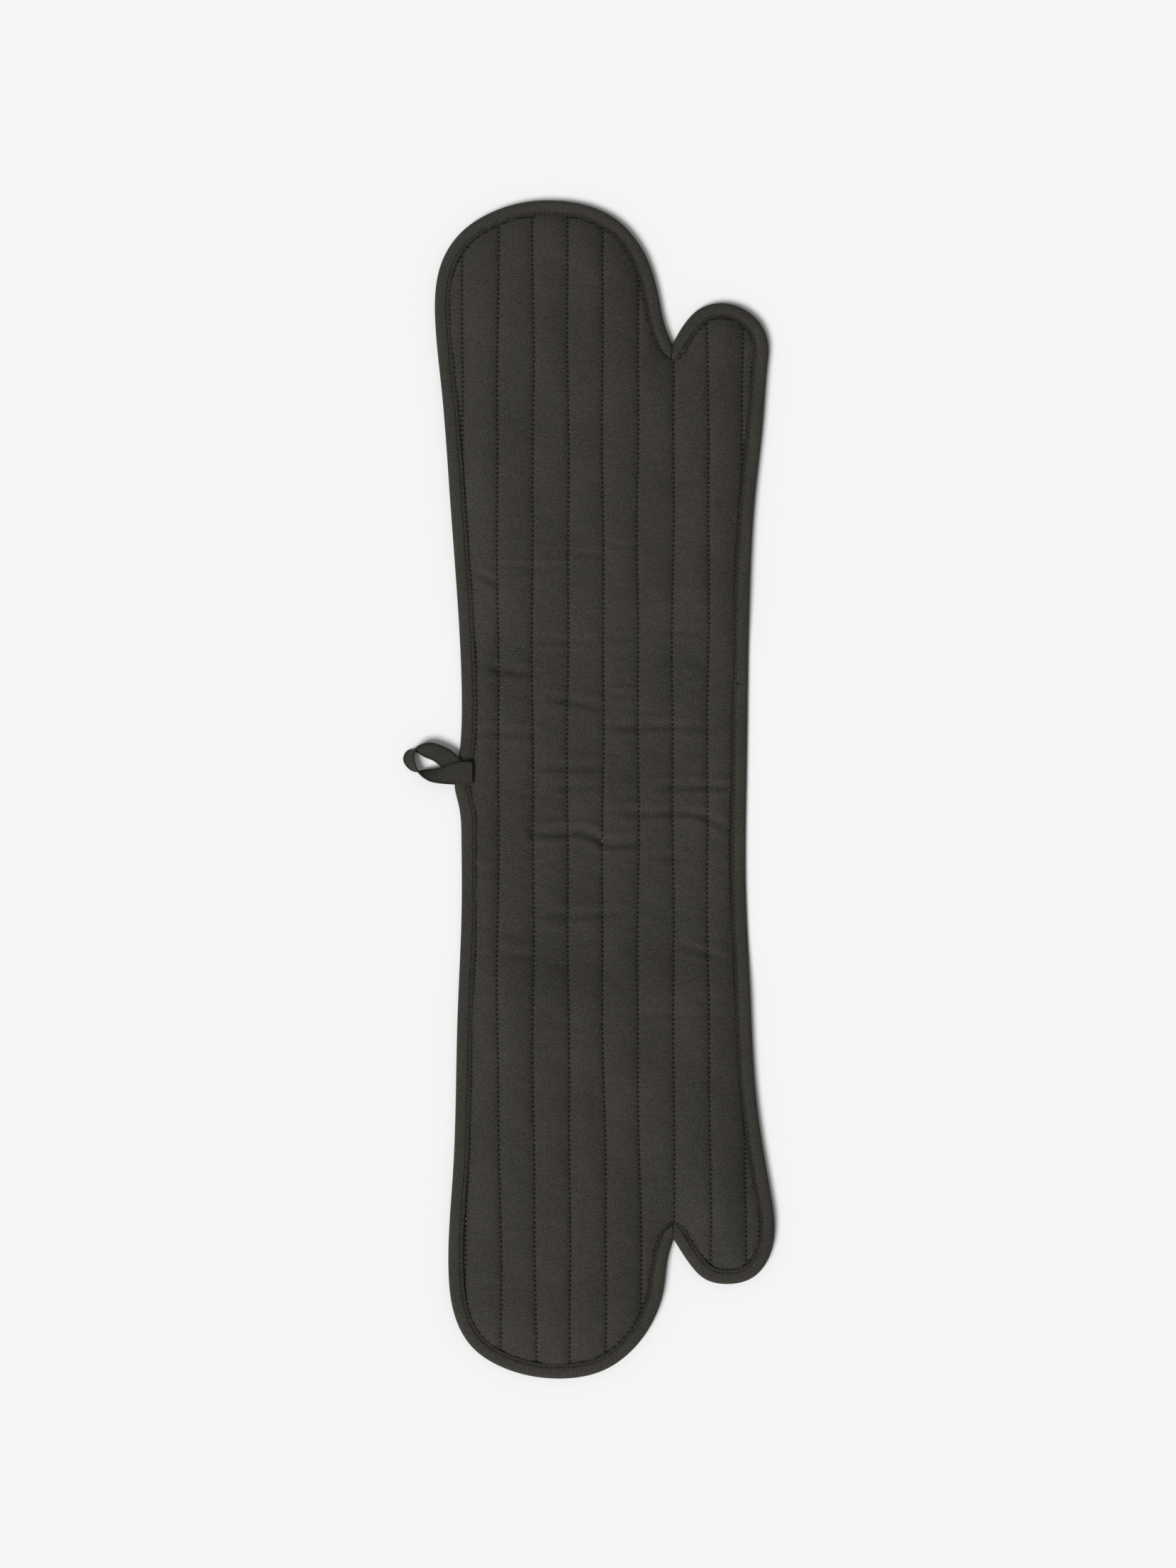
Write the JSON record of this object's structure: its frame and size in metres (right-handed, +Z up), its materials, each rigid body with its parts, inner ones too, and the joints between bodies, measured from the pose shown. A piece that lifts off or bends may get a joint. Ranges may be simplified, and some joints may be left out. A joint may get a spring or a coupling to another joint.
{
  "type": "double oven mitt",
  "caption": "Double oven mitt: a long quilted panel with a thumbed hand pocket at each end, bound all round, with a hanging loop at the middle of one edge",
  "frame": {"origin": "centre of the overall size, at the height of the underside it rests on", "axes": "+Z up from the underside through the quilted face, +Y along the panel towards the mitt drawn at the top, +X across towards the thumbs"},
  "size_m": [0.2699, 0.856, 0.0168],
  "materials": {
    "twill": "dark olive-brown cotton twill",
    "binding_tape": "bias-cut twill tape",
    "loop_tape": "folded twill tape",
    "lining": "plain cotton lining",
    "wadding": "needled cotton wadding",
    "thread": "spun sewing thread"
  },
  "bodies": {
    "centre": {"bartack": "thread", "centre_binding": "binding_tape", "centre_face": "twill", "centre_lining": "lining", "centre_quilting": "thread", "centre_topstitch": "thread", "centre_wadding": "wadding", "loop_base": "loop_tape"},
    "upper_half": {"upper_half_binding": "binding_tape", "upper_half_face": "twill", "upper_half_lining": "lining", "upper_half_pocket_seam": "wadding", "upper_half_quilting": "thread", "upper_half_topstitch": "thread", "upper_half_wadding": "wadding"},
    "lower_half": {"lower_half_binding": "binding_tape", "lower_half_face": "twill", "lower_half_lining": "lining", "lower_half_pocket_seam": "wadding", "lower_half_quilting": "thread", "lower_half_topstitch": "thread", "lower_half_wadding": "wadding"},
    "upper_thumb": {"upper_thumb_back_lining": "lining", "upper_thumb_back_shell": "twill", "upper_thumb_back_wadding": "wadding", "upper_thumb_binding": "binding_tape", "upper_thumb_face": "twill", "upper_thumb_lining": "lining", "upper_thumb_pocket_seam": "wadding", "upper_thumb_quilting": "thread", "upper_thumb_topstitch": "thread", "upper_thumb_wadding": "wadding"},
    "lower_thumb": {"lower_thumb_back_lining": "lining", "lower_thumb_back_shell": "twill", "lower_thumb_back_wadding": "wadding", "lower_thumb_binding": "binding_tape", "lower_thumb_face": "twill", "lower_thumb_lining": "lining", "lower_thumb_pocket_seam": "wadding", "lower_thumb_quilting": "thread", "lower_thumb_topstitch": "thread", "lower_thumb_wadding": "wadding"},
    "upper_pocket": {"upper_cuff_binding": "binding_tape", "upper_pocket_lining": "lining", "upper_pocket_shell": "twill", "upper_pocket_wadding": "wadding"},
    "lower_pocket": {"lower_cuff_binding": "binding_tape", "lower_pocket_lining": "lining", "lower_pocket_shell": "twill", "lower_pocket_wadding": "wadding"},
    "loop": {"loop": "loop_tape"}
  },
  "joints": [
    {"name": "upper_fold", "type": "hinge", "parent": "centre", "child": "upper_half", "pos_m": [0, 0.03, 0.0066], "axis": [1, 0, 0], "range_deg": [0, 75]},
    {"name": "lower_fold", "type": "hinge", "parent": "centre", "child": "lower_half", "pos_m": [0, -0.006, 0.0066], "axis": [-1, 0, 0], "range_deg": [0, 75]},
    {"name": "upper_thumb_bend", "type": "hinge", "parent": "upper_half", "child": "upper_thumb", "pos_m": [0.0606, 0.3234, 0.017], "axis": [0.5724, -0.82, 0], "range_deg": [0, 55]},
    {"name": "lower_thumb_bend", "type": "hinge", "parent": "lower_half", "child": "lower_thumb", "pos_m": [0.0617, -0.3266, 0.017], "axis": [-0.5015, -0.8651, 0], "range_deg": [0, 55]},
    {"name": "upper_pocket_open", "type": "hinge", "parent": "upper_half", "child": "upper_pocket", "pos_m": [0, 0.414, 0.0056], "axis": [1, 0, 0], "range_deg": [0, 9]},
    {"name": "lower_pocket_open", "type": "hinge", "parent": "lower_half", "child": "lower_pocket", "pos_m": [0, -0.414, 0.0056], "axis": [-1, 0, 0], "range_deg": [0, 9]},
    {"name": "loop_swing", "type": "hinge", "parent": "centre", "child": "loop", "pos_m": [-0.099, 0.012, 0.0088], "axis": [0, 1, 0], "range_deg": [0, 100]}
  ]
}
